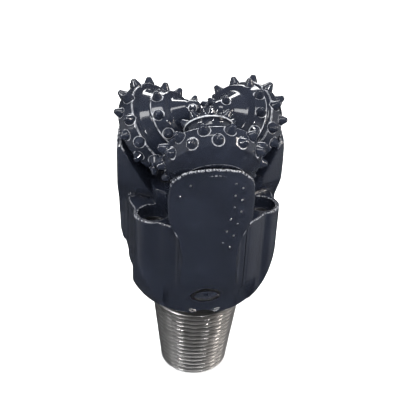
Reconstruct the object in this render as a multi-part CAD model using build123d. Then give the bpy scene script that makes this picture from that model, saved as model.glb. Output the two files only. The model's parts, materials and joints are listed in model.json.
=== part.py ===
from build123d import *
from math import atan, cos, degrees, pi, radians, sin, tan
import os

# Tricone rock bit with pressed-in carbide inserts, sealed journal bearings and three jets.
# Millimetres, +Z up along the bit's axis, pin down and cones up.
# The origin is the centre of the pin's nose face. Leg 1 faces -Y, and legs 2 and 3 follow
# every 120 degrees, counterclockwise seen from above.

# ---------------------------------------------------------------- driving dimensions
LEG_COUNT = 3
LEG_STEP = 360 / LEG_COUNT
LEG_AZIMUTH = -90  # leg 1, in degrees from +X

# Threaded pin, 3 1/2 regular
PIN_LENGTH = 95.25
PIN_BASE_DIAMETER = 88.9  # taper's diameter at the shoulder
PIN_TAPER = 0.25  # change of diameter per length
PIN_BORE_DIAMETER = 38.1
PIN_FLAT_LENGTH = 12.7  # plain cylinder next to the shoulder
PIN_FLAT_DIAMETER = 87.0
NOSE_BEVEL = 2.5
THREAD_PITCH = 5.08
THREAD_CREST = 1.02
THREAD_DEPTH = 3.0
THREAD_FLANK_ANGLE = 30

# Body
SHOULDER_DIAMETER = 115
BODY_TOP = 204  # between the legs, behind the jets
BODY_RADIUS = 65.5  # valley between a jet boss and a leg
VALLEY_FILLET = 6
CORE_RADIUS = 46  # what rises behind the jets
RELIEF_ANGLES = (35, 46)  # from a leg's middle to the jet bosses on its left and on its right
LEG_BACK_WIDTH = 51
LEG_BACK_RADIUS = 71
LEG_EDGE_FILLET = 5
SEAM_ANGLE = 32  # from a leg's middle to the weld on its right
SEAM_WIDTH = 2.4
SEAM_DEPTH = 5
ARM_INSIDE = 28  # the arm is not cut nearer to the bit's axis than this
PAD_RADIUS = 75  # back of the leg, just inside the hole's wall

# Journal, measured along its axis outward from the bit's axis
JOURNAL_ANGLE = 36  # below the horizontal, outward
JOURNAL_HEIGHT = 277  # where the journals' axes meet the bit's axis
JOURNAL_OFFSET = 1.5  # of the journal's axis to one side of the bit's axis
LEG_FACE = 74.3
BACKFACE_GAP = 0.8
JOURNAL_EMBED = 6
SEAL_BOSS_RADIUS = 19.2
SEAL_BOSS_END = 67.8
JOURNAL_RADIUS = 18.0
THRUST_FACE = 44.0
PILOT_RADIUS = 10.8
PILOT_END = 33.0
RUNNING_GAP = 0.05  # radial, in a plain bearing
PRESS_GAP = 0.01  # radial, drawn between pressed pieces

# Bearing and seal pieces
BUSHING_WALL = 1.75
BUSHING_OUTER_END = 67.2
BUSHING_INNER_END = 54.7
PILOT_BUSHING_WALL = 1.45
THRUST_WASHER_THICKNESS = 1.6
THRUST_GAP = 0.1
BALL_DIAMETER = 7.94
BALL_COUNT = 14
BALL_STATION = 49.5
RACE_GAP = 0.05
SEAL_SECTION = 3.5
SEAL_STATION = 70.0
SEAL_SIDE_GAP = 0.2
SEAL_SQUEEZE_GAP = 0.05
MOUTH_GAP = 0.7
BALL_HOLE_RADIUS = 4.4
BALL_PLUG_GAP = 0.05
BALL_HOLE_SLOPE = 17  # degrees between the ball hole and the journal's axis

# Jets
JET_RADIUS = 55.5  # from the bit's axis
JET_ANGLE = 54  # from the leg's middle, to its left
JET_BOSS_RADIUS = 17.4
JET_RIM = 189
JET_POCKET_RADIUS = 13.4
JET_POCKET_FLOOR = 177.4
JET_RING_WIDTH = 2.2
JET_RING_RADIUS = 12.7
JET_RING_INNER = 9.4
JET_SEAT_RADIUS = 11.0
JET_SEAT_FLOOR = 156
JET_NOZZLE_GAP = 0.1
JET_THROAT_RADIUS = 4.8
JET_O_RING_SECTION = 2.6
JET_O_RING_STATION = 163
JET_PASSAGE_RADIUS = 7.5
PLENUM_CENTRE = 112
PLENUM_TOP_RADIUS = 19.05

# Grease reservoir, one in each leg
RESERVOIR_RADIUS = 12
RESERVOIR_DEPTH = 38
RESERVOIR_SLOPE = 30  # upward, inward
RESERVOIR_MOUTH = (64.5, 115.5)  # radius and height of the mouth's centre
RESERVOIR_RECESS = 6  # from the mouth's centre to the cap
RESERVOIR_FLARE = (18.5, 3.4)  # radius of the flared mouth, and how far out it reaches that
CAP_THICKNESS = 5
CAP_GAP = 0.08
CAP_RING_THICKNESS = 1.4
CAP_RING_DEPTH = 1.2
CAP_O_RING_SECTION = 2.0
CUP_WALL = 1.2
CUP_LENGTH = 22
DIAPHRAGM_WALL = 1.4
DIAPHRAGM_DEPTH = 15
GREASE_HOLE_RADIUS = 2.4

# Pressed inserts: hole depth, and the tip's form as shares of the insert's own size
INSERT_GRIP = 7
INSERT_LAND = 0.8
INSERT_TIP_SHARE = 0.42
INSERT_ROUNDING = 0.9
INSERT_LAND_ROUNDING = 0.35
BUTTON_RADIUS = 2.6
BUTTON_GRIP = 4.5
BUTTON_CROWN = 0.5
HEEL_BUTTON_RADIUS = 2.6
HEEL_BUTTON_COUNT = 9
HEEL_BUTTON_STATION = 68.6
OUTLINE_EASE = 0.7

# Leg 1's back seen from the front, right half: (x, z) from the neck's foot to the top
PAD_HALF_OUTLINE = [(24, 131), (24.6, 150), (23.4, 163), (25.2, 179), (35.4, 200), (36, 219), (34, 236), (23, 246)]
PAD_TOP = 250.5
PAD_FOOT_FILLET = 7
PAD_NECK_FILLET = 14
PAD_HEAD_FILLET = 9

# Rounds of the leg's back and of the jet bosses: (radius, height)
LEG_PROFILE = [(57.5, 96.25), (58, 101), (59.4, 110), (63.8, 121), (67.4, 131), (70, 142), (LEG_BACK_RADIUS, 155)]
PAD_PROFILE = [(70.2, 131), (73.4, 145), (74.6, 165), (PAD_RADIUS, 190)]
BOSS_PROFILE = [(60, 98.5), (63.4, 104), (67.2, 112.5), (69.7, 121), (71.6, 131), (72.9, 145)]

# Buttons on the leg's back, (x, z) seen from the front
LEADING_BUTTON_ROWS = 6
LEADING_BUTTON_PITCH = 10.9
LEADING_BUTTON_TOP = 236.5
LEADING_COLUMNS = [(17.4, 0.0), (23.6, 5.0)]  # x, and how far the column is let down
LEADING_STRAIGHT_ROWS = 3  # rows before the columns follow the narrowing neck
LEADING_DRIFT = 2.6
TRAILING_BUTTONS = [(-18.6, 235.6), (-26.4, 224.8)]

# Cone outlines from the backface to the nose: (distance along the journal, radius)
HEEL_OUTLINE = [(64.2, 38.6), (55.2, 40.8), (46.5, 39.1)]
BACKFACE_RADIUS = 25.7
GAGE_ROW = {"name": "gage", "at": (59.4, 39.75), "radius": 4.5, "height": 6.3}
OUTER_ROW = {"name": "outer", "at": (50.6, 39.95), "radius": 4.75, "height": 6.8}
CONES = [
    {
        "outline": [(45.4, 33.0), (33.6, 17.6), (28.6, 18.4), (26.6, 21.6), (18.6, 14.8), (17.8, 10.8), (16.8, 10.2),
                    (12.6, 6.6), (11.6, 4.0)],
        "nose": 11.4,
        "counts": (12, 12, 8, 3),
        "middle": {"name": "middle", "at": (22.6, 18.2), "radius": 4.2, "height": 6.2},
        "nose_row": {"name": "nose", "at": (15.3, 8.93), "radius": 3.2, "height": 4.6},
        "turn": 0,
    },
    {
        "outline": [(45.6, 35.4), (43.8, 35.0), (42.8, 36.5), (34.4, 30.4), (33.2, 23.2), (24.5, 13.4), (23.0, 13.2),
                    (16.4, 7.6), (14.6, 4.5)],
        "nose": 14.4,
        "counts": (12, 12, 12, 4),
        "middle": {"name": "middle", "at": (38.5, 33.4), "radius": 4.4, "height": 6.6},
        "nose_row": {"name": "nose", "at": (19.9, 10.5), "radius": 3.6, "height": 5.6},
        "turn": 0,
    },
    {
        "outline": [(45.4, 33.0), (37.6, 26.4), (35.6, 28.8), (26.4, 22.2), (25.2, 15.4), (12.6, 7.8), (11.2, 7.9),
                    (6.4, 4.6), (5.2, 2.6)],
        "nose": 5.0,
        "counts": (12, 12, 9, 3),
        "middle": {"name": "middle", "at": (31.0, 25.5), "radius": 4.4, "height": 6.4},
        "nose_row": {"name": "nose", "at": (8.8, 6.25), "radius": 3.0, "height": 4.0},
        "turn": 15,
    },
]
CONE_CLEARANCE = 4.0  # between the body's throat and what the cones sweep
SWEEP_OUTLINE = [(74.3, 27.5), (66.5, 43.5), (60.0, 46.5), (49.5, 47.6), (40.0, 41.0), (0, 12)]

TOP = 300  # above everything
WIDE = 150  # outside everything


# ---------------------------------------------------------------- small helpers
def turned(points):
    """Solid of revolution about Z from a closed outline of (radius, height) points."""
    return revolve(Plane.XZ * make_face(Polyline(*points, close=True)), axis=Axis.Z)


def ring(inner, outer, low, high):
    """Plain ring about Z."""
    return turned([(inner, low), (outer, low), (outer, high), (inner, high)])


def rod(radius, low, high):
    """Cylinder about Z between two heights."""
    return Pos(0, 0, (low + high) / 2) * Cylinder(radius, high - low)


def cable_of(centre_radius, section_radius, height):
    """Torus about Z, such as an O-ring or a ball race."""
    return Pos(0, 0, height) * Torus(centre_radius, section_radius)


def eased(points, ease):
    """The points with every inner corner cut back by ease, so that no land has a knife edge."""
    path = [Vector(*p) for p in points]
    out = [path[0]]
    for before, corner, after in zip(path, path[1:], path[2:]):
        for end in (before, after):
            reach = min(ease, (end - corner).length / 3)
            out.append(corner + (end - corner).normalized() * reach)
    out.append(path[-1])
    return [(p.X, p.Y) for p in out]


def leg_turn(index):
    """Rotation that carries what is made for leg 1 to another leg."""
    return Rot(0, 0, LEG_STEP * index)


# Journal frame of leg 1: Z runs outward along the journal, X towards the hole's bottom.
JOURNAL = Plane(
    origin=(JOURNAL_OFFSET, 0, JOURNAL_HEIGHT),
    x_dir=(0, -sin(radians(JOURNAL_ANGLE)), cos(radians(JOURNAL_ANGLE))),
    z_dir=(0, -cos(radians(JOURNAL_ANGLE)), -sin(radians(JOURNAL_ANGLE))),
)


def on_journal(shape, index=0):
    """Moves a shape from the journal frame to a leg's journal."""
    return leg_turn(index) * (JOURNAL.location * shape)


def pin_radius(height):
    """Crest radius of the tapered pin at a height above its nose."""
    return (PIN_BASE_DIAMETER - PIN_TAPER * (PIN_LENGTH - height)) / 2


# ---------------------------------------------------------------- pin and body
def pin_outline():
    """Outer side of the pin from the nose to the shoulder, with its thread as rings."""
    flank = THREAD_DEPTH * tan(radians(THREAD_FLANK_ANGLE))
    root = THREAD_PITCH - THREAD_CREST - 2 * flank
    points = [(pin_radius(0) - NOSE_BEVEL, 0), (pin_radius(0), NOSE_BEVEL)]
    turns = int((PIN_LENGTH - PIN_FLAT_LENGTH - NOSE_BEVEL) / THREAD_PITCH)
    start = PIN_LENGTH - PIN_FLAT_LENGTH - turns * THREAD_PITCH
    for turn in range(turns):
        low = start + turn * THREAD_PITCH
        steps = ((0, 0), (flank, THREAD_DEPTH), (flank + root, THREAD_DEPTH), (2 * flank + root, 0))
        for rise, depth in steps:
            points.append((pin_radius(low + rise) - depth, low + rise))
    flat = PIN_FLAT_DIAMETER / 2
    return points + [(flat, PIN_LENGTH - PIN_FLAT_LENGTH), (flat, PIN_LENGTH)]


def body_plan():
    """Plan of the body above the shoulder: valleys, three jet bosses and three leg backs."""
    plan = Circle(BODY_RADIUS)
    for index in range(LEG_COUNT):
        boss_angle = LEG_AZIMUTH - JET_ANGLE + LEG_STEP * index
        plan += Rot(0, 0, boss_angle) * (Pos(JET_RADIUS, 0) * Circle(JET_BOSS_RADIUS))
        back = Circle(LEG_BACK_RADIUS) & (Pos(0, -LEG_BACK_RADIUS) * Rectangle(LEG_BACK_WIDTH, LEG_BACK_RADIUS))
        plan += Rot(0, 0, LEG_STEP * index) * back
    hollow = [v for v in plan.vertices() if Vector(v.X, v.Y).length <= BODY_RADIUS + 1]
    return fillet(hollow, VALLEY_FILLET)


def leg_back_relief():
    """What is cut from the body's foot between two jet bosses, where a leg runs in to the shoulder."""
    shell = turned(LEG_PROFILE + [(WIDE, LEG_PROFILE[-1][1]), (WIDE, LEG_PROFILE[0][1])])
    return shell & sector(*RELIEF_ANGLES)


def cone_sweep(index):
    """Room that a turning cone needs in the body's throat."""
    grown = [(t, r + CONE_CLEARANCE) for t, r in SWEEP_OUTLINE]
    outline = [(0, grown[0][0])] + [(r, t) for t, r in grown] + [(0, grown[-1][0])]
    return on_journal(turned(outline), index)


def flow_channels():
    """Pin bore, plenum and the three passages with their jet pockets."""
    channels = rod(PIN_BORE_DIAMETER / 2, -1, PLENUM_CENTRE)
    channels += Pos(0, 0, PLENUM_CENTRE) * Sphere(PLENUM_TOP_RADIUS)
    pocket = rod(JET_POCKET_RADIUS, JET_POCKET_FLOOR, TOP)
    pocket += rod(JET_RING_RADIUS, JET_POCKET_FLOOR - JET_RING_WIDTH, JET_POCKET_FLOOR)
    pocket += rod(JET_SEAT_RADIUS, JET_SEAT_FLOOR, JET_POCKET_FLOOR - JET_RING_WIDTH)
    pocket += cable_of(JET_SEAT_RADIUS, JET_O_RING_SECTION / 2 + RUNNING_GAP, JET_O_RING_STATION)
    foot = Vector(0, 0, PLENUM_CENTRE + JET_PASSAGE_RADIUS)
    head = Vector(JET_RADIUS, 0, JET_SEAT_FLOOR)
    passage = Plane(origin=foot, z_dir=head - foot) * rod(JET_PASSAGE_RADIUS, 0, (head - foot).length)
    passage += Pos(*head) * Sphere(JET_PASSAGE_RADIUS)
    jet = Pos(JET_RADIUS, 0, 0) * pocket + passage
    for index in range(LEG_COUNT):
        channels += Rot(0, 0, LEG_AZIMUTH - JET_ANGLE + LEG_STEP * index) * jet
    return channels


def whole_body():
    """The body before it is divided into legs, with its channels but no arms."""
    foot = [(0, PIN_LENGTH), (SHOULDER_DIAMETER / 2 - 1, PIN_LENGTH), (SHOULDER_DIAMETER / 2, PIN_LENGTH + 1)]
    envelope = turned(foot + BOSS_PROFILE + [(BOSS_PROFILE[-1][0], JET_RIM), (0, JET_RIM)])
    blank = extrude(body_plan(), JET_RIM) & envelope
    blank += rod(CORE_RADIUS, PIN_LENGTH, BODY_TOP)
    relief = leg_back_relief()
    for index in range(LEG_COUNT):
        blank -= leg_turn(index) * relief
    for index in range(LEG_COUNT):
        blank -= cone_sweep(index)
    blank += turned([(0, 0)] + pin_outline() + [(0, PIN_LENGTH)])
    return blank - flow_channels()


def pad_outline():
    """Face of the leg's back, seen from the front, with rounded corners."""
    right = PAD_HALF_OUTLINE
    left = [(-x, z) for x, z in reversed(right)]
    edges = Polyline(*left, *right) + ThreePointArc(right[-1], (0, PAD_TOP), left[0])
    face = make_face(edges)
    heights = {z: radius for z, radius in (
        (right[0][1], PAD_FOOT_FILLET), (right[3][1], PAD_NECK_FILLET), (right[4][1], PAD_HEAD_FILLET),
        (right[6][1], PAD_HEAD_FILLET), (right[7][1], PAD_HEAD_FILLET / 2))}
    for height, radius in heights.items():
        face = fillet([v for v in face.vertices() if abs(v.Y - height) < 0.01], radius)
    return face


def arm():
    """Arm of leg 1: from the neck's foot up to the lip behind the cone."""
    prism = extrude(Plane.XZ.offset(ARM_INSIDE) * pad_outline(), PAD_RADIUS)
    back = turned([(0, PAD_PROFILE[0][1])] + PAD_PROFILE + [(PAD_RADIUS, TOP), (0, TOP)])
    outboard = on_journal(Pos(0, 0, LEG_FACE + WIDE) * Box(4 * WIDE, 4 * WIDE, 2 * WIDE))
    return prism & back & outboard


def sector(left, right):
    """Wedge of the body from left to right of leg 1's middle, in degrees."""
    angles = [LEG_AZIMUTH - left, LEG_AZIMUTH + (right - left) / 2, LEG_AZIMUTH + right]
    rim = [(2 * WIDE * cos(radians(a)), 2 * WIDE * sin(radians(a))) for a in angles]
    return extrude(make_face(Polyline((0, 0), *rim, close=True)), TOP)


def seam_slab():
    """Thin slab about the weld on the right of leg 1."""
    slab = Pos(WIDE / 2, 0, (PIN_LENGTH + JET_RIM) / 2) * Box(WIDE, SEAM_WIDTH, JET_RIM - PIN_LENGTH)
    root = turned([
        (SHOULDER_DIAMETER / 2 - SEAM_DEPTH, PIN_LENGTH), (WIDE, PIN_LENGTH), (WIDE, JET_RIM),
        (BODY_RADIUS - SEAM_DEPTH, JET_RIM), (BODY_RADIUS - SEAM_DEPTH, BOSS_PROFILE[3][1]),
    ])
    return Rot(0, 0, LEG_AZIMUTH + SEAM_ANGLE) * slab & root


# ---------------------------------------------------------------- leg details
def reservoir_plane():
    """Frame of leg 1's reservoir: Z runs out of its mouth, from the cap's outer face."""
    slope = radians(RESERVOIR_SLOPE)
    out = Vector(0, -cos(slope), -sin(slope))
    mouth = Vector(0, -RESERVOIR_MOUTH[0], RESERVOIR_MOUTH[1])
    return Plane(origin=mouth - out * RESERVOIR_RECESS, x_dir=(1, 0, 0), z_dir=out)


def reservoir_cut():
    """Bore, ring groove and grease hole of leg 1's reservoir."""
    bore = rod(RESERVOIR_RADIUS, RESERVOIR_RECESS - RESERVOIR_DEPTH, RESERVOIR_RECESS)
    foot, (wide, rise) = CAP_RING_THICKNESS + 1, RESERVOIR_FLARE
    bore += turned([(0, foot), (RESERVOIR_RADIUS + 0.6, foot), (wide, foot + rise), (wide, WIDE / 4), (0, WIDE / 4)])
    groove = rod(RESERVOIR_RADIUS + CAP_RING_DEPTH, 0, CAP_RING_THICKNESS)
    plane = reservoir_plane()
    start = plane.from_local_coords(Vector(0, 0, RESERVOIR_RECESS - RESERVOIR_DEPTH + GREASE_HOLE_RADIUS))
    end = JOURNAL.from_local_coords(Vector(0, 0, LEG_FACE - JOURNAL_EMBED))
    grease = Plane(origin=start, z_dir=end - start) * rod(GREASE_HOLE_RADIUS, 0, (end - start).length)
    return plane.location * (bore + groove) + grease


def ball_hole_plane():
    """Frame of the ball hole in leg 1: origin at the race, Z outward through the leg's back."""
    slope = radians(BALL_HOLE_SLOPE)
    race = JOURNAL.from_local_coords(Vector(-JOURNAL_RADIUS, 0, BALL_STATION))
    out = JOURNAL.from_local_coords(Vector(sin(slope), 0, cos(slope))) - JOURNAL.origin
    return Plane(origin=race, z_dir=out)


def ball_race(extra=0.0):
    """Torus that the balls run in, about the journal."""
    return cable_of(JOURNAL_RADIUS, BALL_DIAMETER / 2 + RACE_GAP + extra, BALL_STATION)


def journal():
    """Journal, seal boss and pilot pin, in the journal frame."""
    outline = [
        (0, PILOT_END), (PILOT_RADIUS - 1, PILOT_END), (PILOT_RADIUS, PILOT_END + 1), (PILOT_RADIUS, THRUST_FACE),
        (JOURNAL_RADIUS, THRUST_FACE), (JOURNAL_RADIUS, SEAL_BOSS_END), (SEAL_BOSS_RADIUS, SEAL_BOSS_END),
        (SEAL_BOSS_RADIUS, LEG_FACE + JOURNAL_EMBED), (0, LEG_FACE + JOURNAL_EMBED),
    ]
    return turned(outline) - ball_race()


def button_places():
    """(x, z) of every button on leg 1's back, seen from the front."""
    places = list(TRAILING_BUTTONS)
    for x, let_down in LEADING_COLUMNS:
        for row in range(LEADING_BUTTON_ROWS):
            drift = LEADING_DRIFT * max(0, row - LEADING_STRAIGHT_ROWS + 1)
            places.append((x - drift, LEADING_BUTTON_TOP - let_down - LEADING_BUTTON_PITCH * row))
    return places


def pad_radius(height):
    """Radius of the leg's back at a height."""
    for (r_low, z_low), (r_high, z_high) in zip(PAD_PROFILE, PAD_PROFILE[1:]):
        if z_low <= height <= z_high:
            return r_low + (r_high - r_low) * (height - z_low) / (z_high - z_low)
    return PAD_RADIUS


def button_plane(x, z):
    """Frame of a button on leg 1's back: Z runs outward."""
    radius = pad_radius(z)
    y = -(radius**2 - x**2) ** 0.5
    return Plane(origin=(x, y, z), z_dir=(x, y, 0))


def button(radius):
    """Flat-topped carbide button with a slight crown; its top edge is at Z 0."""
    crown = ThreePointArc((0, BUTTON_CROWN), (radius / 2, BUTTON_CROWN * 0.75), (radius, 0))
    sides = Polyline((radius, 0), (radius, -BUTTON_GRIP), (0, -BUTTON_GRIP), (0, BUTTON_CROWN))
    return revolve(Plane.XZ * make_face(crown + sides), axis=Axis.Z)


# ---------------------------------------------------------------- cones
def outline_of(cone):
    """Outer outline of a cone from its backface's edge to its nose, as (distance, radius)."""
    backface = LEG_FACE - BACKFACE_GAP
    points = [(backface, BACKFACE_RADIUS)] + HEEL_OUTLINE + cone["outline"] + [(cone["nose"], 0)]
    return eased(points, OUTLINE_EASE)


def outline_normal(cone, at):
    """Outward normal of the cone's outline where a row sits, as (along, radial)."""
    points = [(LEG_FACE - BACKFACE_GAP, BACKFACE_RADIUS)] + HEEL_OUTLINE + cone["outline"] + [(cone["nose"], 0)]
    spot = Vector(*at)
    best = None
    for start, end in zip(points, points[1:]):
        a, b = Vector(*start), Vector(*end)
        along = b - a
        share = min(1, max(0, (spot - a).dot(along) / along.length**2))
        distance = (a + along * share - spot).length
        if best is None or distance < best[0]:
            best = (distance, along.normalized())
    return -best[1].Y * -1, -best[1].X


def row_planes(cone, row, count, phase, shift=0.0):
    """Frames of one row's inserts in the journal frame: Z runs outward along each insert."""
    along, radial = outline_normal(cone, row["at"])
    t, r = row["at"]
    planes = []
    for i in range(count):
        turn = radians(cone["turn"] + phase + 360 * i / count)
        origin = ((r + shift * radial) * cos(turn), (r + shift * radial) * sin(turn), t + shift * along)
        planes.append(Plane(origin=origin, z_dir=(radial * cos(turn), radial * sin(turn), along)))
    return planes


def insert(radius, height):
    """Conical carbide insert: its grip is below Z 0 and its cutting end above."""
    tip = radius * INSERT_TIP_SHARE
    points = [(0, -INSERT_GRIP), (radius, -INSERT_GRIP), (radius, INSERT_LAND), (tip, height), (0, height)]
    face = make_face(Polyline(*points, close=True))
    face = fillet([v for v in face.vertices() if abs(v.X - tip) < 0.01], tip * INSERT_ROUNDING)
    face = fillet([v for v in face.vertices() if abs(v.Y - INSERT_LAND) < 0.01], radius * INSERT_LAND_ROUNDING)
    return revolve(Plane.XZ * face, axis=Axis.Z)


def rows_of(cone):
    """(row, count, phase) of a cone's four rows, outermost first."""
    gage, outer, middle, nose = cone["counts"]
    return [
        (GAGE_ROW, gage, 0), (OUTER_ROW, outer, 180 / outer), (cone["middle"], middle, 0), (cone["nose_row"], nose, 20),
    ]


def heel_row():
    """Flush buttons in the heel, which rubs on the hole's wall."""
    (t_low, r_low), (t_high, r_high) = (LEG_FACE - BACKFACE_GAP, BACKFACE_RADIUS), HEEL_OUTLINE[0]
    share = (HEEL_BUTTON_STATION - t_low) / (t_high - t_low)
    return {"name": "heel", "at": (HEEL_BUTTON_STATION, r_low + share * (r_high - r_low))}


def cone_bore():
    """Everything that is hollow inside a cone, in the journal frame."""
    backface = LEG_FACE - BACKFACE_GAP
    gland = SEAL_SECTION / 2 + SEAL_SIDE_GAP
    bushing = JOURNAL_RADIUS + RUNNING_GAP + BUSHING_WALL + PRESS_GAP
    washer_seat = THRUST_FACE - 2 * THRUST_GAP - THRUST_WASHER_THICKNESS
    pilot = PILOT_RADIUS + RUNNING_GAP + PILOT_BUSHING_WALL + PRESS_GAP
    hollow = rod(SEAL_BOSS_RADIUS + MOUTH_GAP, SEAL_STATION + gland, backface + 1)
    hollow += rod(SEAL_BOSS_RADIUS + SEAL_SECTION + SEAL_SQUEEZE_GAP, SEAL_STATION - gland, SEAL_STATION + gland)
    hollow += rod(bushing, BUSHING_INNER_END - 0.1, SEAL_STATION - gland)
    hollow += rod(JOURNAL_RADIUS + 2 * RUNNING_GAP, washer_seat, BUSHING_INNER_END)
    hollow += rod(pilot, PILOT_END - 0.6, washer_seat)
    return hollow + ball_race()


def make_cone(cone):
    """Cone shell with its insert holes and its bearing bore, in the journal frame."""
    outline = outline_of(cone)
    shell = turned([(0, outline[0][0])] + [(r, t) for t, r in outline])
    shell -= cone_bore()
    holes = []
    for row, count, phase in rows_of(cone):
        for plane in row_planes(cone, row, count, phase):
            holes.append(plane.location * rod(row["radius"] + PRESS_GAP, -INSERT_GRIP, INSERT_GRIP))
    for plane in row_planes(cone, heel_row(), HEEL_BUTTON_COUNT, 0):
        holes.append(plane.location * rod(HEEL_BUTTON_RADIUS + PRESS_GAP, -BUTTON_GRIP, BUTTON_GRIP))
    return shell - holes


# ---------------------------------------------------------------- parts
def save(name, *solids):
    """Writes one node's STEP file."""
    shape = solids[0] if len(solids) == 1 else Compound(children=list(solids))
    export_step(shape, os.path.join("parts", name + ".step"))


def legs_and_welds():
    """Three legs with arms, journals and bores, and the welds between them."""
    body = whole_body()
    slab = seam_slab()
    weld = body & slab
    own_arm = arm()
    piece = body & sector(LEG_STEP - SEAM_ANGLE, SEAM_ANGLE)
    piece -= slab
    piece -= leg_turn(LEG_COUNT - 1) * slab
    piece -= leg_turn(LEG_COUNT - 1) * own_arm
    weld -= own_arm
    piece += own_arm
    piece -= flow_channels()
    piece += on_journal(journal())
    piece -= reservoir_cut()
    hole = ball_hole_plane()
    piece -= hole.location * rod(BALL_HOLE_RADIUS, 0, WIDE)
    for x, z in button_places():
        piece -= button_plane(x, z).location * rod(BUTTON_RADIUS + PRESS_GAP, -BUTTON_GRIP, BUTTON_GRIP)
    return piece, weld


def ball_plug():
    """Plug that closes leg 1's ball hole: cut to the race inside, flush with the back outside."""
    hole = ball_hole_plane()
    plug = hole.location * rod(BALL_HOLE_RADIUS - BALL_PLUG_GAP, 0, WIDE)
    plug &= rod(PAD_RADIUS, 0, TOP)
    return plug - on_journal(ball_race(BALL_PLUG_GAP)) & on_journal(rod(JOURNAL_RADIUS, 0, LEG_FACE + WIDE))


def jet_parts():
    """Nozzle, O-ring and snap ring of one jet, about Z."""
    top = JET_POCKET_FLOOR - JET_RING_WIDTH
    outer = JET_SEAT_RADIUS - JET_NOZZLE_GAP
    nozzle = turned([
        (JET_THROAT_RADIUS + 3.6, JET_SEAT_FLOOR), (outer, JET_SEAT_FLOOR), (outer, top), (JET_RING_INNER - 1.6, top),
        (JET_THROAT_RADIUS + 1.2, top - 3), (JET_THROAT_RADIUS, top - 5), (JET_THROAT_RADIUS, JET_SEAT_FLOOR + 8),
    ])
    groove = JET_O_RING_SECTION / 2 + RUNNING_GAP
    nozzle -= cable_of(JET_SEAT_RADIUS, groove, JET_O_RING_STATION)
    o_ring = cable_of(JET_SEAT_RADIUS, JET_O_RING_SECTION / 2, JET_O_RING_STATION)
    snap = ring(JET_RING_INNER, JET_RING_RADIUS - RUNNING_GAP, top + RUNNING_GAP, JET_POCKET_FLOOR - RUNNING_GAP)
    gap = Pos(JET_RING_RADIUS, 0, top) * Box(JET_RING_RADIUS, 5, 3 * JET_RING_WIDTH)
    return nozzle, o_ring, snap - gap


def reservoir_parts():
    """Cap, O-ring, snap ring, cup and diaphragm of one reservoir, in the reservoir's frame."""
    outer = RESERVOIR_RADIUS - CAP_GAP
    seat = -CAP_THICKNESS
    cap = turned([(0, seat), (outer, seat), (outer, 0), (4.5, 0), (3.3, -1.8), (0, -1.8)])
    o_ring_at = -CAP_THICKNESS / 2
    section = CAP_O_RING_SECTION / 2
    cap -= cable_of(outer - section, section + 0.03, o_ring_at)
    o_ring = cable_of(outer - section, section, o_ring_at)
    snap = ring(
        RESERVOIR_RADIUS - 1.8, RESERVOIR_RADIUS + CAP_RING_DEPTH - CAP_GAP, CAP_GAP, CAP_RING_THICKNESS - CAP_GAP
    )
    snap -= Pos(RESERVOIR_RADIUS, 0, 0) * Box(RESERVOIR_RADIUS, 5, 5)
    low = seat - DIAPHRAGM_WALL
    cup = turned([
        (3, low - CUP_LENGTH), (outer, low - CUP_LENGTH), (outer, low), (outer - CUP_WALL, low),
        (outer - CUP_WALL, low - CUP_LENGTH + CUP_WALL), (3, low - CUP_LENGTH + CUP_WALL),
    ])
    inside = outer - CUP_WALL - CAP_GAP
    diaphragm = turned([
        (0, seat - DIAPHRAGM_DEPTH), (inside - 2, seat - DIAPHRAGM_DEPTH), (inside, seat - DIAPHRAGM_DEPTH + 3),
        (inside, low), (outer, low), (outer, seat), (inside - DIAPHRAGM_WALL, seat),
        (inside - DIAPHRAGM_WALL, seat - DIAPHRAGM_DEPTH + 3), (inside - 3, seat - DIAPHRAGM_DEPTH + DIAPHRAGM_WALL),
        (0, seat - DIAPHRAGM_DEPTH + DIAPHRAGM_WALL),
    ])
    return cap, o_ring, snap, cup, diaphragm


def save_root_parts():
    """Everything that stays with the legs."""
    leg, weld = legs_and_welds()
    plug = ball_plug()
    nozzle, nozzle_o_ring, nozzle_snap = jet_parts()
    at_reservoir = reservoir_plane().location
    cap, cap_o_ring, cap_snap, cup, diaphragm = [at_reservoir * part for part in reservoir_parts()]
    button_solid = button(BUTTON_RADIUS)
    buttons = [button_plane(x, z).location * button_solid for x, z in button_places()]
    at_jet = [Rot(0, 0, LEG_AZIMUTH - JET_ANGLE + LEG_STEP * i) * Pos(JET_RADIUS, 0, 0) for i in range(LEG_COUNT)]
    turns = [leg_turn(i) for i in range(LEG_COUNT)]
    for i, turn in enumerate(turns):
        number = i + 1
        save(f"leg_{number}", turn * leg)
        save(f"ball_plug_{number}", turn * plug)
        save(f"leg_buttons_{number}", *[turn * b for b in buttons])
        save(f"nozzle_{number}", at_jet[i] * nozzle)
        save(f"reservoir_cap_{number}", turn * cap)
        save(f"reservoir_cup_{number}", turn * cup)
        save(f"reservoir_diaphragm_{number}", turn * diaphragm)
    save("leg_welds", *[turn * weld for turn in turns])
    save("nozzle_o_rings", *[place * nozzle_o_ring for place in at_jet])
    save("nozzle_snap_rings", *[place * nozzle_snap for place in at_jet])
    save("reservoir_o_rings", *[turn * cap_o_ring for turn in turns])
    save("reservoir_snap_rings", *[turn * cap_snap for turn in turns])


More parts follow.
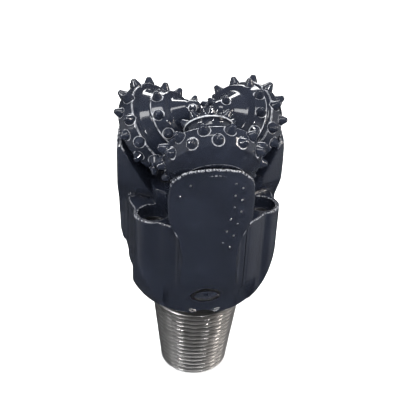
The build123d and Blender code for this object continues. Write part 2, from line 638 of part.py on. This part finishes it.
def save_bearing(index):
    """Bushings, thrust washer, seal and balls of one journal."""
    number = index + 1
    journal_inner = JOURNAL_RADIUS + RUNNING_GAP
    bushing = ring(journal_inner, journal_inner + BUSHING_WALL, BUSHING_INNER_END, BUSHING_OUTER_END)
    pilot_inner = PILOT_RADIUS + RUNNING_GAP
    washer_top = THRUST_FACE - THRUST_GAP
    washer_low = washer_top - THRUST_WASHER_THICKNESS
    pilot = ring(pilot_inner, pilot_inner + PILOT_BUSHING_WALL, PILOT_END, washer_low - THRUST_GAP)
    washer = ring(PILOT_RADIUS + 0.4, JOURNAL_RADIUS - RUNNING_GAP, washer_low, washer_top)
    seal = cable_of(SEAL_BOSS_RADIUS + SEAL_SECTION / 2 + RUNNING_GAP, SEAL_SECTION / 2 - RUNNING_GAP, SEAL_STATION)
    ball = Pos(JOURNAL_RADIUS, 0, BALL_STATION) * Sphere(BALL_DIAMETER / 2)
    balls = [on_journal(Rot(0, 0, 360 * i / BALL_COUNT) * ball, index) for i in range(BALL_COUNT)]
    save(f"journal_bushing_{number}", on_journal(bushing, index))
    save(f"pilot_bushing_{number}", on_journal(pilot, index))
    save(f"thrust_washer_{number}", on_journal(washer, index))
    save(f"cone_seal_{number}", on_journal(seal, index))
    save(f"retaining_balls_{number}", *balls)


def save_cone(index):
    """One cone with its rows of inserts."""
    cone = CONES[index]
    number = index + 1
    save(f"cone_{number}", on_journal(make_cone(cone), index))
    for row, count, phase in rows_of(cone):
        solid = insert(row["radius"], row["height"])
        places = [plane.location * solid for plane in row_planes(cone, row, count, phase)]
        save(f"{row['name']}_inserts_{number}", *[on_journal(s, index) for s in places])
    heel_button = button(HEEL_BUTTON_RADIUS)
    places = [plane.location * heel_button for plane in row_planes(cone, heel_row(), HEEL_BUTTON_COUNT, 0)]
    save(f"heel_buttons_{number}", *[on_journal(s, index) for s in places])


os.makedirs("parts", exist_ok=True)
save_root_parts()
for cone_index in range(LEG_COUNT):
    save_bearing(cone_index)
    save_cone(cone_index)
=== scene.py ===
import bpy
import bmesh
import json
from math import cos, pi, radians, sin
from mathutils import Matrix, Vector


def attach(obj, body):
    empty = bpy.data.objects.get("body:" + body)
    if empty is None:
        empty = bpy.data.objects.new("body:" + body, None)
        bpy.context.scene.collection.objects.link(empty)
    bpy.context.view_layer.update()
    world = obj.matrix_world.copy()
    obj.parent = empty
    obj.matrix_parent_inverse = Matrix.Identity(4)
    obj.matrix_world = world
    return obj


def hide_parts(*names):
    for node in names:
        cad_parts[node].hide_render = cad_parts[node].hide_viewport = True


# Tricone rock bit: painted forgings and cones with softened edges, a bare machined pin with a helical thread.
# Metres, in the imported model's own frame.

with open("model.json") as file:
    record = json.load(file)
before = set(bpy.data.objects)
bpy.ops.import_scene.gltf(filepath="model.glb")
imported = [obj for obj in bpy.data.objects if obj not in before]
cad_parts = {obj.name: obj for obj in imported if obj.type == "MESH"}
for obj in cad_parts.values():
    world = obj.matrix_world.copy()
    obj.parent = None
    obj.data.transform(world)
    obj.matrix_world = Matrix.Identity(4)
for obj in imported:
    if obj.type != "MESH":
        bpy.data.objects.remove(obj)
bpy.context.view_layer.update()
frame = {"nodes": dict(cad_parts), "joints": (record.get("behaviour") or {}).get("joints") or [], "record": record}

LEGS = (1, 2, 3)
MM = 0.001
SAME_POINT = 1e-6  # points nearer than this are one

# ---------------------------------------------------------------- driving sizes
SHOULDER_Z = 95.25 * MM
PIN_BASE_R = 44.45 * MM
PIN_FLAT_R = 43.5 * MM
PIN_FLAT = 12.7 * MM
PIN_BORE_R = 19.05 * MM
PIN_BORE_BEVEL = 1.5 * MM
PIN_TAPER = 0.125  # change of radius per length
PIN_AROUND = 180  # points in each ring of the pin
PIN_STEP = 0.254 * MM  # between two rings
PIN_SHARP = 32  # degrees between two faces from which the edge between them is sharp
NOSE_BEVEL = 2.5 * MM
THREAD_PITCH = 5.08 * MM
THREAD_DEPTH = 3.0 * MM
THREAD_CREST = 1.02 * MM
THREAD_FLANK = 1.732 * MM  # axial length of one flank
THREAD_ROOT = THREAD_PITCH - THREAD_CREST - 2 * THREAD_FLANK
THREAD_RUNOUT = 4.0 * MM
THREAD_START = 0.35  # share of its depth that the thread has at the pin's end
THREAD_TOP = SHOULDER_Z - PIN_FLAT

# The size of the voxels that a piece is remeshed with, and the rounds of smoothing after it.
LEG_VOXEL, LEG_ROUNDS = 0.8 * MM, 5
CONE_VOXEL, CONE_ROUNDS = 0.42 * MM, 4
INSERT_VOXEL, INSERT_ROUNDS = 0.3 * MM, 2
LEG_OVERLAP = 0.4 * MM  # how far a leg's copy runs on below the shoulder

BORE_EASE = 0.25 * MM  # gives back the room that smoothing takes from the balls and bushings in a cone
BORE_REACH = 24 * MM  # radius about the journal's axis that holds the bore and the ball race
BORE_SPAN = (-18 * MM, 22 * MM)  # along the axis, from the joint's place
BORE_FACING = 0.25  # a face of the bore looks less than this, as a cosine, away from the axis

RESERVOIR_SLOPE = 30  # degrees below level that a reservoir's mouth faces
SCOOP_FLOOR = 0.4 * MM  # heights above the cap's face
SCOOP_RIM = 4.4 * MM
SCOOP_TOP = 40 * MM
SCOOP_FLOOR_R = 13.0 * MM
SCOOP_RIM_R = 23 * MM

EDGE_RISE = "edge_rise"
EDGE_ROUNDS = 14  # rounds of smoothing of the copy that a finished piece is compared with

CROWN_R = 0.85 * MM  # of the light steel spot at a painted button's crown, a painted glint that also stands for paint rubbed off it
CROWN_RISE = 0.3 * MM
CROWN_SUNK = 1 * MM  # how far the spot's solid goes down into the button
CROWN_AROUND = 20

# ---------------------------------------------------------------- colours and wear
BLACK = (0, 0, 0)
WHITE = (1, 1, 1)
PAINT = (0.0088, 0.0108, 0.0170)
STEEL = (0.40, 0.39, 0.385)
BARE_METAL_AND_HIGHLIGHT = ((0.24, 0.25, 0.27), (0.50, 0.51, 0.54))  # darkest and lightest metal where paint wears through, which also serves as the painted highlight on edges and on hardfacing grain

# Rises in mm between which an edge's paint goes from whole to rubbed through to light metal, partly wear and
# partly a painted highlight along the edges.
CONE_WEAR_AND_HIGHLIGHT = (0.045, 0.10)
CARBIDE_WEAR_AND_HIGHLIGHT = (0.085, 0.17)
HARDFACING_GLINT_RISE = (0.08, 0.24)  # the same for the welded hardfacing grain to show, in a light colour that is a painted glint
HARDFACING_GLINT_BANDS = [(0.1876, 0.1902), (0.234, 0.262)]  # heights on the legs of the hardfacing, whose light grain is a painted glint
BAND_FADE = 0.001
GRAIN_DEPTH = 0.0004  # of the hardfacing
SPRAY_DEPTH = 0.000012  # of the enamel's own texture


# ---------------------------------------------------------------- material nodes
def add_node(tree, kind, **values):
    """A new shader node with these values in its inputs; _ stands for a space in an input's name."""
    node = tree.nodes.new("ShaderNode" + kind)
    for name, value in values.items():
        node.inputs[name.replace("_", " ")].default_value = value
    return node


class Surface:
    """A material under construction: nodes about one Principled shader."""

    def __init__(self, name):
        self.material = bpy.data.materials.new(name)
        self.material.use_nodes = True
        self.tree = self.material.node_tree
        self.shader = self.tree.nodes["Principled BSDF"]
        self.coords = add_node(self.tree, "TexCoord").outputs["Object"]

    def link(self, out, socket):
        self.tree.links.new(out, socket)

    def noise(self, scale, detail=4.0, rough=0.55, stretch=None):
        node = add_node(self.tree, "TexNoise", Scale=scale, Detail=detail, Roughness=rough)
        source = self.coords
        if stretch:
            mapping = add_node(self.tree, "Mapping", Scale=stretch)
            self.link(source, mapping.inputs["Vector"])
            source = mapping.outputs["Vector"]
        self.link(source, node.inputs["Vector"])
        return node.outputs["Fac"]

    def ramp(self, factor, stops):
        """A colour between (place, colour) stops, at the place that a factor gives."""
        node = add_node(self.tree, "ValToRGB")
        elements = node.color_ramp.elements
        while len(elements) < len(stops):
            elements.new(0.5)
        for element, (place, colour) in zip(elements, stops):
            element.position = place
            element.color = (*colour, 1.0)
        self.link(factor, node.inputs["Fac"])
        return node.outputs["Color"]

    def rising(self, factor, low, high):
        """0 where a factor is low or less, 1 where it is high or more."""
        return self.ramp(factor, [(low, BLACK), (high, WHITE)])

    def span(self, factor, low, high):
        """A noise's usual range, spread from low to high."""
        node = add_node(self.tree, "MapRange", From_Min=0.3, From_Max=0.7, To_Min=low, To_Max=high)
        self.link(factor, node.inputs["Value"])
        return node.outputs["Result"]

    def mix(self, factor, first, second):
        """The first colour where a factor is 0, the second where it is 1."""
        node = add_node(self.tree, "Mix")
        node.data_type = "RGBA"
        self.link(factor, node.inputs["Factor"])
        self.link(first, node.inputs[6])  # the colour inputs A and B, and the colour output, by their places
        self.link(second, node.inputs[7])
        return node.outputs[2]

    def times(self, first, second):
        node = add_node(self.tree, "Math")
        node.operation = "MULTIPLY"
        self.link(first, node.inputs[0])
        self.link(second, node.inputs[1])
        return node.outputs["Value"]

    def edge(self, low, high):
        """1 where a point stands out of its surroundings by high mm or more, 0 below low mm."""
        rise = add_node(self.tree, "Attribute")
        rise.attribute_name = EDGE_RISE
        return self.rising(rise.outputs["Fac"], low, high)

    def height_bands(self, bands):
        """1 between each (low, high) height; a ramp's places run from 0 to 1, so they are metres here."""
        split = add_node(self.tree, "SeparateXYZ")
        self.link(self.coords, split.inputs["Vector"])
        stops = []
        for low, high in bands:
            stops += [(low - BAND_FADE, BLACK), (low, WHITE), (high, WHITE), (high + BAND_FADE, BLACK)]
        return self.ramp(split.outputs["Z"], stops)

    def bump(self, heights):
        """heights is a list of (output, depth in metres); later ones lie on top of earlier ones."""
        normal = None
        for out, depth in heights:
            node = add_node(self.tree, "Bump", Distance=depth, Strength=1.0)
            self.link(out, node.inputs["Height"])
            if normal:
                self.link(normal, node.inputs["Normal"])
            normal = node.outputs["Normal"]
        self.link(normal, self.shader.inputs["Normal"])

    def set(self, **values):
        for name, value in values.items():
            self.shader.inputs[name.replace("_", " ")].default_value = value


def scaled(colour, factor):
    return tuple(c * factor for c in colour)


def paint(name, colour, gloss=0.10, forging=0.00016, coat=0.35, wear_and_highlight=None, hardfacing_glint_bands=None):
    """Gloss enamel over a forged or machined surface.

    Of the last two arguments, the first is the (low, high) rise in mm between which an edge's paint wears through
    to light metal, partly wear and partly a painted highlight along the edges; the second is the height bands in
    which the edges carry welded grain, coloured light as a painted glint.
    """
    s = Surface(name)
    tone = s.ramp(s.noise(28, 6), [(0.3, scaled(colour, 0.8)), (0.55, colour), (0.75, scaled(colour, 1.35))])
    dust = s.ramp(s.noise(260, 8, 0.7), [(0.60, BLACK), (0.80, (0.35, 0.35, 0.35))])
    pale = s.ramp(s.noise(90), [(0.0, scaled(colour, 2.2)), (1.0, scaled(colour, 3.2))])
    face = s.mix(dust, tone, pale)
    heights = [(s.noise(75, 5), forging), (s.noise(700, 3), SPRAY_DEPTH)]
    if wear_and_highlight or hardfacing_glint_bands:
        # light metal for paint rubbed through, used as well as a painted highlight on edges and on hardfacing
        # grain
        bare_and_highlight = s.ramp(s.noise(90), [(0.0, BARE_METAL_AND_HIGHLIGHT[0]), (1.0, BARE_METAL_AND_HIGHLIGHT[1])])
    if wear_and_highlight:
        breaks = s.rising(s.noise(160, 4, 0.6), 0.34, 0.50)
        # edges that stand out turn light: partly wear, partly a painted highlight along the edges
        face = s.mix(s.times(s.edge(*wear_and_highlight), breaks), face, bare_and_highlight)
    if hardfacing_glint_bands:
        rim = s.times(s.edge(*HARDFACING_GLINT_RISE), s.height_bands(hardfacing_glint_bands))
        # welded hardfacing grain in the bands: its bump is texture, its light colour a painted glint of the
        # sparkle on those edges
        grains_and_glints = s.times(rim, s.rising(s.noise(620, 4, 0.65), 0.45, 0.57))
        face = s.mix(grains_and_glints, face, bare_and_highlight)
        heights.append((grains_and_glints, GRAIN_DEPTH))
    s.link(face, s.shader.inputs["Base Color"])
    s.link(s.span(s.noise(120, 6), gloss, gloss + 0.12), s.shader.inputs["Roughness"])
    s.bump(heights)
    s.set(Metallic=0.0, IOR=1.45, Specular_IOR_Level=0.4, Coat_Weight=coat, Coat_Roughness=0.03)
    return s.material


def machined(name, colour, rough=0.3, lay=(1, 1, 60), grooves=0.00001):
    """Bare steel with fine turning marks about Z."""
    s = Surface(name)
    tone = s.ramp(s.noise(60, 6), [(0.25, scaled(colour, 0.72)), (0.5, colour), (0.75, scaled(colour, 1.15))])
    s.link(tone, s.shader.inputs["Base Color"])
    s.link(s.span(s.noise(90, 6, 0.6, lay), rough - 0.07, rough + 0.1), s.shader.inputs["Roughness"])
    s.bump([(s.noise(110, 4, 0.6, lay), grooves)])
    s.set(Metallic=1.0)
    return s.material


def rubber(name):
    """Matt black, a little uneven."""
    s = Surface(name)
    tone = s.ramp(s.noise(150, 4), [(0.3, (0.012, 0.012, 0.012)), (0.7, (0.024, 0.024, 0.025))])
    s.link(tone, s.shader.inputs["Base Color"])
    s.link(s.span(s.noise(300), 0.5, 0.7), s.shader.inputs["Roughness"])
    s.bump([(s.noise(900), 0.00001)])
    return s.material


EVEN = (1, 1, 1)  # a lay without turning marks
MATERIALS = {
    # the legs' paint carries hardfacing grain with a painted glint
    "body_paint": paint("body_paint", PAINT, hardfacing_glint_bands=HARDFACING_GLINT_BANDS),
    # cone and insert paint have light edges, partly wear and partly a painted highlight
    "cone_paint": paint("cone_paint", PAINT, gloss=0.07, forging=0.000006, coat=0.4, wear_and_highlight=CONE_WEAR_AND_HIGHLIGHT),
    "carbide": paint(
        "carbide", scaled(PAINT, 1.15), gloss=0.07, forging=0.000008, coat=0.45, wear_and_highlight=CARBIDE_WEAR_AND_HIGHLIGHT
    ),
    "weld": paint("weld", PAINT, gloss=0.14, forging=0.0004, coat=0.3),
    "cap_steel": paint("cap_steel", scaled(PAINT, 1.2), gloss=0.12, forging=0.00002, coat=0.3),
    "bearing_steel": machined("bearing_steel", (0.72, 0.72, 0.73), 0.15, EVEN),
    "bearing_bronze": machined("bearing_bronze", (0.65, 0.42, 0.18), 0.3),
    "spring_steel": machined("spring_steel", (0.22, 0.22, 0.235), 0.35),
    "nozzle_carbide": machined("nozzle_carbide", (0.16, 0.165, 0.18), 0.3),
    "seal_rubber": rubber("seal_rubber"),
}
PIN_STEEL = machined("pin_steel", STEEL, 0.34, (1, 1, 90), 0.00002)
# light steel for the painted glint on each button's crown
BUTTON_GLINT_CROWN = machined("button_glint_crown", (0.78, 0.79, 0.81), 0.28, EVEN)


def finish_of(node):
    """The record's material slot of a CAD node."""
    for part in frame["record"]["subparts"]:
        if part["node"] == node:
            return part["material_slot"]
    return "body_paint"


def body_of_node(node):
    """The body that a CAD node belongs to."""
    for body, nodes in frame["record"]["behaviour"]["bodies"].items():
        if node in nodes:
            return body
    return "bit_body"


# ---------------------------------------------------------------- meshes and objects
def placed(name, data):
    """A new object in the scene."""
    made = bpy.data.objects.new(name, data)
    bpy.context.scene.collection.objects.link(made)
    return made


def mesh_from(bm, name):
    """A mesh with what a bmesh holds, which is let go."""
    mesh = bpy.data.meshes.new(name)
    bm.to_mesh(mesh)
    bm.free()
    return mesh


def shade_smooth(mesh):
    for face in mesh.polygons:
        face.use_smooth = True


def ring(bm, radii, height):
    """Points evenly round the Z axis, one at each of these radii."""
    turns = [2 * pi * i / len(radii) for i in range(len(radii))]
    return [bm.verts.new((r * cos(a), r * sin(a), height)) for r, a in zip(radii, turns)]


def bridge(bm, rings, around):
    """Faces between each ring of points and the next; a ring may be a single point."""
    for low, high in zip(rings, rings[1:]):
        for i in range(around):
            corners = [
                low[i % len(low)], low[(i + 1) % len(low)],
                high[(i + 1) % len(high)], high[i % len(high)],
            ]
            bm.faces.new(list(dict.fromkeys(corners)))


def middle_of(points):
    return sum(points, Vector()) / len(points)


def new_piece(name, mesh, body, material):
    """A piece of the visual model that moves with a body."""
    piece = placed(name, mesh)
    mesh.materials.clear()
    mesh.materials.append(material)
    shade_smooth(mesh)
    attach(piece, body)
    return piece


def cut_below(mesh, height):
    """Keeps what is above a height, and closes the cut."""
    bm = bmesh.new()
    bm.from_mesh(mesh)
    bmesh.ops.remove_doubles(bm, verts=bm.verts, dist=SAME_POINT)
    whole = bm.verts[:] + bm.edges[:] + bm.faces[:]
    cut = bmesh.ops.bisect_plane(
        bm, geom=whole, plane_co=(0, 0, height), plane_no=(0, 0, 1), clear_inner=True
    )
    edges = [e for e in cut["geom_cut"] if isinstance(e, bmesh.types.BMEdge)]
    bmesh.ops.triangle_fill(bm, edges=edges, use_beauty=True)
    bm.to_mesh(mesh)
    bm.free()


def joined(nodes):
    """One mesh with copies of these CAD nodes."""
    bm = bmesh.new()
    for node in nodes:
        bm.from_mesh(frame["nodes"][node].data)
    return mesh_from(bm, nodes[0] + "_joined")


def solid_of_revolution(name, outline, place, around=64):
    """A closed mesh turned about its own Z from (radius, height) points that start and end on the axis."""
    bm = bmesh.new()
    rings = [ring(bm, [radius] * (around if radius else 1), height) for radius, height in outline]
    bridge(bm, rings, around)
    bmesh.ops.recalc_face_normals(bm, faces=bm.faces)
    bm.transform(place)
    return mesh_from(bm, name)


def facing(origin, out):
    """Frame at a point whose Z runs outward."""
    return Matrix.Translation(origin) @ Vector(out).to_track_quat("Z", "Y").to_matrix().to_4x4()


def face_of(points, out):
    """Middle of some points, moved along out to the furthest of them."""
    middle = middle_of(points)
    return middle + out * max((p - middle).dot(out) for p in points)


def islands(mesh):
    """The points of each separate solid in a mesh."""
    bm = bmesh.new()
    bm.from_mesh(mesh)
    bmesh.ops.remove_doubles(bm, verts=bm.verts, dist=SAME_POINT)
    left = set(bm.verts)
    groups = []
    while left:
        todo = [left.pop()]
        points = []
        while todo:
            vert = todo.pop()
            points.append(vert.co.copy())
            near = {e.other_vert(vert) for e in vert.link_edges} & left
            left -= near
            todo += near
        groups.append(points)
    bm.free()
    return groups


# ---------------------------------------------------------------- softened copies
def add_voxels(work, name, size):
    remesh = work.modifiers.new(name, "REMESH")
    remesh.mode = "VOXEL"
    remesh.voxel_size = size


def add_smoothing(work, rounds):
    smooth = work.modifiers.new("smooth", "SMOOTH")
    smooth.factor = 0.5
    smooth.iterations = rounds


def mark_edges(mesh):
    """Stores how far each point stands out from its smoothed surroundings, in mm."""
    work = placed("edge_work", mesh)
    add_smoothing(work, EDGE_ROUNDS)
    even = work.evaluated_get(bpy.context.evaluated_depsgraph_get()).data
    rises = [(a.co - b.co).dot(a.normal) / MM for a, b in zip(mesh.vertices, even.vertices)]
    bpy.data.objects.remove(work)
    mesh.attributes.new(EDGE_RISE, "FLOAT", "POINT").data.foreach_set("value", rises)


def softened(node, voxel, rounds, cut=None, flush=(), hides=None, tool=None):
    """A copy of a CAD node with soft edges, which stands for it.

    The nodes in flush are welded or pressed into it and merge with its surface. hides names the nodes that
    it stands for besides its own, which are those in flush if it isn't given. tool is carved out of it.
    """
    mesh = joined([node, *flush])
    if cut is not None:
        cut_below(mesh, cut)
    work = placed(node + "_work", mesh)
    add_voxels(work, "remesh", voxel)
    if tool:
        carve = work.modifiers.new("carve", "BOOLEAN")
        carve.operation = "DIFFERENCE"
        carve.object = tool
        add_voxels(work, "remesh_again", voxel)
    add_smoothing(work, rounds)
    depsgraph = bpy.context.evaluated_depsgraph_get()
    result = bpy.data.meshes.new_from_object(work.evaluated_get(depsgraph))
    bpy.data.objects.remove(work)
    if tool:
        bpy.data.objects.remove(tool)
    mark_edges(result)
    slot = finish_of(node)
    piece = new_piece(node + "_finished", result, body_of_node(node), MATERIALS[slot])
    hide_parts(node, *(flush if hides is None else hides))
    return piece


def reservoir_frame(number):
    """Frame of a leg's grease reservoir at its cap's face, with Z out of the mouth."""
    points = [v.co for v in frame["nodes"][f"reservoir_cap_{number}"].data.vertices]
    middle = middle_of(points)
    slope = radians(RESERVOIR_SLOPE)
    out = Vector((middle.x, middle.y, 0)).normalized() * cos(slope) - Vector((0, 0, sin(slope)))
    return facing(face_of(points, out), out)


def scoop(number):
    """What is carved out round a reservoir's mouth; softened takes it out of the scene again."""
    outline = [
        (0, SCOOP_FLOOR),
        (SCOOP_FLOOR_R, SCOOP_FLOOR),
        (SCOOP_RIM_R, SCOOP_RIM),
        (SCOOP_RIM_R, SCOOP_TOP),
        (0, SCOOP_TOP),
    ]
    name = f"scoop_{number}"
    return placed(name, solid_of_revolution(name, outline, reservoir_frame(number)))


def ease_bore(mesh, joint):
    """Sinks a cone's inner faces a little into it, so that they stay clear of what turns in them."""
    at, axis = Vector(joint["pos_m"]), Vector(joint["axis"])
    moves = []
    for vert in mesh.vertices:
        reach = vert.co - at
        along = reach.dot(axis)
        out = reach - axis * along
        inside = BORE_SPAN[0] < along < BORE_SPAN[1] and out.length < BORE_REACH
        if inside and vert.normal.dot(out) < BORE_FACING * out.length:
            moves.append((vert.index, vert.co - vert.normal * BORE_EASE))
    for index, place in moves:
        mesh.vertices[index].co = place
    mesh.update()


# ---------------------------------------------------------------- the pin
def thread_depth(turn, height):
    """Depth below the crest cone at a height, on a right-handed helix at an angle given in turns."""
    phase = (height - turn * THREAD_PITCH) % THREAD_PITCH
    if phase < THREAD_FLANK:
        depth = phase / THREAD_FLANK
    elif phase < THREAD_FLANK + THREAD_ROOT:
        depth = 1.0
    elif phase < 2 * THREAD_FLANK + THREAD_ROOT:
        depth = 1.0 - (phase - THREAD_FLANK - THREAD_ROOT) / THREAD_FLANK
    else:
        depth = 0.0
    below_top = max(0.0, (THREAD_TOP - height) / THREAD_RUNOUT)
    above_end = max(0.0, height / THREAD_RUNOUT + THREAD_START)
    return depth * THREAD_DEPTH * min(1.0, below_top, above_end)


def pin_profile_radius(turn, height):
    """Outer radius of the pin at a height and an angle in turns."""
    if height > THREAD_TOP:
        return PIN_FLAT_R
    radius = PIN_BASE_R - PIN_TAPER * (SHOULDER_Z - height) - thread_depth(turn, height)
    if height < NOSE_BEVEL:
        return min(radius, PIN_BASE_R - PIN_TAPER * SHOULDER_Z - (NOSE_BEVEL - height))
    return min(radius, PIN_FLAT_R)


def pin_piece():
    """The bare steel pin with its helical thread and its bore."""
    heights = [i * PIN_STEP for i in range(int(SHOULDER_Z / PIN_STEP) + 1)] + [SHOULDER_Z]
    turns = [i / PIN_AROUND for i in range(PIN_AROUND)]
    bore = [(SHOULDER_Z, 0.0), (PIN_BORE_BEVEL, 0.0), (0.0, PIN_BORE_BEVEL)]  # height, what the radius gains
    bm = bmesh.new()
    rings = [ring(bm, [pin_profile_radius(turn, height) for turn in turns], height) for height in heights]
    rings += [ring(bm, [PIN_BORE_R + gain] * PIN_AROUND, height) for height, gain in bore]
    bridge(bm, rings + rings[:1], PIN_AROUND)
    bmesh.ops.recalc_face_normals(bm, faces=bm.faces)
    mesh = mesh_from(bm, "pin")
    piece = new_piece("threaded_pin", mesh, "bit_body", PIN_STEEL)
    mesh.set_sharp_from_angle(angle=radians(PIN_SHARP))
    return piece


# ---------------------------------------------------------------- all pieces
def button_glint_crowns(number):
    """A light steel spot at the middle of each button in a leg's back: a painted glint, which also stands for
    carbide showing through the paint.
    """
    outline = [(0, -CROWN_SUNK), (CROWN_R, -CROWN_SUNK)]
    outline += [(CROWN_R * cos(a), CROWN_RISE * sin(a)) for a in [radians(15 * i) for i in range(6)]]
    outline.append((0, CROWN_RISE))
    bm = bmesh.new()
    for points in islands(frame["nodes"][f"leg_buttons_{number}"].data):
        middle = middle_of(points)
        out = Vector((middle.x, middle.y, 0)).normalized()
        bm.from_mesh(solid_of_revolution("crown", outline, facing(face_of(points, out), out), CROWN_AROUND))
    mesh = mesh_from(bm, f"leg_button_crowns_{number}")
    piece = new_piece(mesh.name, mesh, "bit_body", BUTTON_GLINT_CROWN)
    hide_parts(f"leg_buttons_{number}")


def make_pieces():
    for k in LEGS:
        leg, cone = f"leg_{k}", f"cone_{k}"
        plug = f"ball_plug_{k}"
        flush = (f"leg_buttons_{k}", plug)
        softened(leg, LEG_VOXEL, LEG_ROUNDS, SHOULDER_Z - LEG_OVERLAP, flush, (plug,), scoop(k))
        finished = softened(cone, CONE_VOXEL, CONE_ROUNDS, flush=(f"heel_buttons_{k}",), hides=())
        ease_bore(finished.data, next(j for j in frame["joints"] if j["child"] == cone))
        for row in ("gage", "outer", "middle", "nose"):
            softened(f"{row}_inserts_{k}", INSERT_VOXEL, INSERT_ROUNDS)
        button_glint_crowns(k)
    pin_piece()


def finish_cad_nodes():
    """Every CAD node gets its slot's material, those that stay in view with it."""
    for name, node in frame["nodes"].items():
        node.data.materials.clear()
        node.data.materials.append(MATERIALS[finish_of(name)])


# ---------------------------------------------------------------- stage
FLOOR_FLAT = 1.8  # radius at which the floor starts to rise
FLOOR_CURVE = 1.2  # radius of the curve
FLOOR_TOP = 3.5
FLOOR_MIDDLE = 0.02  # radius of the middle face
FLOOR_AROUND = 96

SKY_COLOUR = (0.95, 0.97, 1.0, 1)
SKY_DOWN, SKY_UP = 0.05, 0.22  # strength at the horizon and below it, and straight above
SKY_SIDE = 0.6  # what the sides add
SIDE_SPAN = (0.70, 0.98)  # how far to one side, as a cosine, they begin and are full

STAGE_MIDDLE = (0, 0, 0.17)
SOFT_LIGHTS = (  # name, place, target, size, power
    ("overhead", (0.0, 0.2, 1.9), STAGE_MIDDLE, (1.6, 1.6), 50),
    ("floor_front", (0.0, -1.6, 1.6), (0, -0.6, 0), (1.4, 0.8), 30),
)
STRIP_LIGHTS = (  # name, place, size, power, colour
    ("strip_left", (-0.80, -0.50, 0.75), (0.05, 0.50), 7, WHITE),
    ("strip_right", (0.85, -0.35, 0.60), (0.04, 0.45), 6, (1.0, 0.93, 0.86)),
    ("strip_top", (-0.12, -0.30, 1.15), (0.55, 0.22), 3.5, WHITE),
    ("spark", (0.30, -0.95, 0.95), (0.05, 0.05), 4, WHITE),
    ("back_rim", (0.0, 0.80, 0.85), (0.9, 0.16), 8, WHITE),
)

EYE_TARGET = (0, 0, 0.181)
EYE_DISTANCE = 0.663
EYE_AZIMUTH, EYE_ELEVATION, EYE_ROLL = 8.5, 29.4, 2.62  # degrees
EYE_NEAR = 0.01
SENSOR = 36  # mm across
PHOTO_FOCAL, PHOTO_WIDTH = 726, 400  # pixels


def backdrop():
    """Pale floor that curves up all round the bit."""
    run = [(FLOOR_MIDDLE, 0.0), (FLOOR_FLAT, 0.0)]
    for a in [radians(9 * i) for i in range(1, 11)]:
        run.append((FLOOR_FLAT + FLOOR_CURVE * sin(a), FLOOR_CURVE - FLOOR_CURVE * cos(a)))
    run.append((FLOOR_FLAT + FLOOR_CURVE, FLOOR_TOP))
    bm = bmesh.new()
    rings = [ring(bm, [radius] * FLOOR_AROUND, height) for radius, height in run]
    bm.faces.new(rings[0])
    bridge(bm, rings, FLOOR_AROUND)
    mesh = mesh_from(bm, "backdrop")
    shade_smooth(mesh)
    floor = placed("backdrop", mesh)
    s = Surface("backdrop")
    tone = s.ramp(s.noise(2, 2), [(0.0, (0.90, 0.90, 0.90)), (1.0, (0.94, 0.94, 0.94))])
    s.link(tone, s.shader.inputs["Base Color"])
    s.set(Roughness=0.7)
    mesh.materials.append(s.material)
    floor.visible_glossy = False


def sky(world):
    """Soft light from above and from both sides, dark in front and below."""
    world.use_nodes = True
    tree = world.node_tree
    background = tree.nodes["Background"].inputs
    split = add_node(tree, "SeparateXYZ")
    tree.links.new(add_node(tree, "TexCoord").outputs["Generated"], split.inputs["Vector"])
    above = add_node(tree, "MapRange", To_Min=SKY_DOWN, To_Max=SKY_UP)
    tree.links.new(split.outputs["Z"], above.inputs["Value"])
    sideways = add_node(tree, "Math")
    sideways.operation = "ABSOLUTE"
    tree.links.new(split.outputs["X"], sideways.inputs[0])
    sides = add_node(tree, "MapRange", From_Min=SIDE_SPAN[0], From_Max=SIDE_SPAN[1], To_Max=SKY_SIDE)
    sides.interpolation_type = "SMOOTHSTEP"
    tree.links.new(sideways.outputs["Value"], sides.inputs["Value"])
    total = add_node(tree, "Math")  # a Math node adds unless it is told otherwise
    tree.links.new(above.outputs["Result"], total.inputs[0])
    tree.links.new(sides.outputs["Result"], total.inputs[1])
    tree.links.new(total.outputs["Value"], background["Strength"])
    background["Color"].default_value = SKY_COLOUR


def area_light(name, place, target, size, power, colour=WHITE):
    light = bpy.data.lights.new(name, "AREA")
    light.shape = "RECTANGLE"
    light.size, light.size_y = size
    light.energy = power
    light.color = colour
    lamp = placed(name, light)
    lamp.location = place
    lamp.rotation_euler = (Vector(target) - Vector(place)).to_track_quat("-Z", "Y").to_euler()
    return lamp


def lights():
    """Wide lights that no gloss shows, and narrow ones that are there to be seen in it."""
    for name, place, target, size, power in SOFT_LIGHTS:
        area_light(name, place, target, size, power).visible_glossy = False
    for name, place, size, power, colour in STRIP_LIGHTS:
        area_light(name, place, STAGE_MIDDLE, size, power, colour)


def camera():
    """Three-quarter view from above, on leg 1's side, with a slight roll."""
    azimuth, elevation, roll = radians(EYE_AZIMUTH), radians(EYE_ELEVATION), radians(EYE_ROLL)
    back = Vector((-sin(azimuth) * cos(elevation), -cos(azimuth) * cos(elevation), sin(elevation)))
    right = Vector((cos(azimuth), -sin(azimuth), 0))
    up = back.cross(right)
    x = right * cos(roll) + up * sin(roll)
    y = up * cos(roll) - right * sin(roll)
    lens = bpy.data.cameras.new("camera")
    lens.sensor_width = SENSOR
    lens.lens = SENSOR * PHOTO_FOCAL / PHOTO_WIDTH
    lens.clip_start = EYE_NEAR
    eye = placed("camera", lens)
    turned = Matrix((x, y, back)).transposed().to_4x4()
    eye.matrix_world = Matrix.Translation(Vector(EYE_TARGET) + back * EYE_DISTANCE) @ turned
    bpy.context.scene.camera = eye


make_pieces()
finish_cad_nodes()
backdrop()
bpy.context.scene.world = bpy.data.worlds.new("studio")
sky(bpy.context.scene.world)
lights()
camera()
bpy.context.scene.view_settings.view_transform = "Standard"
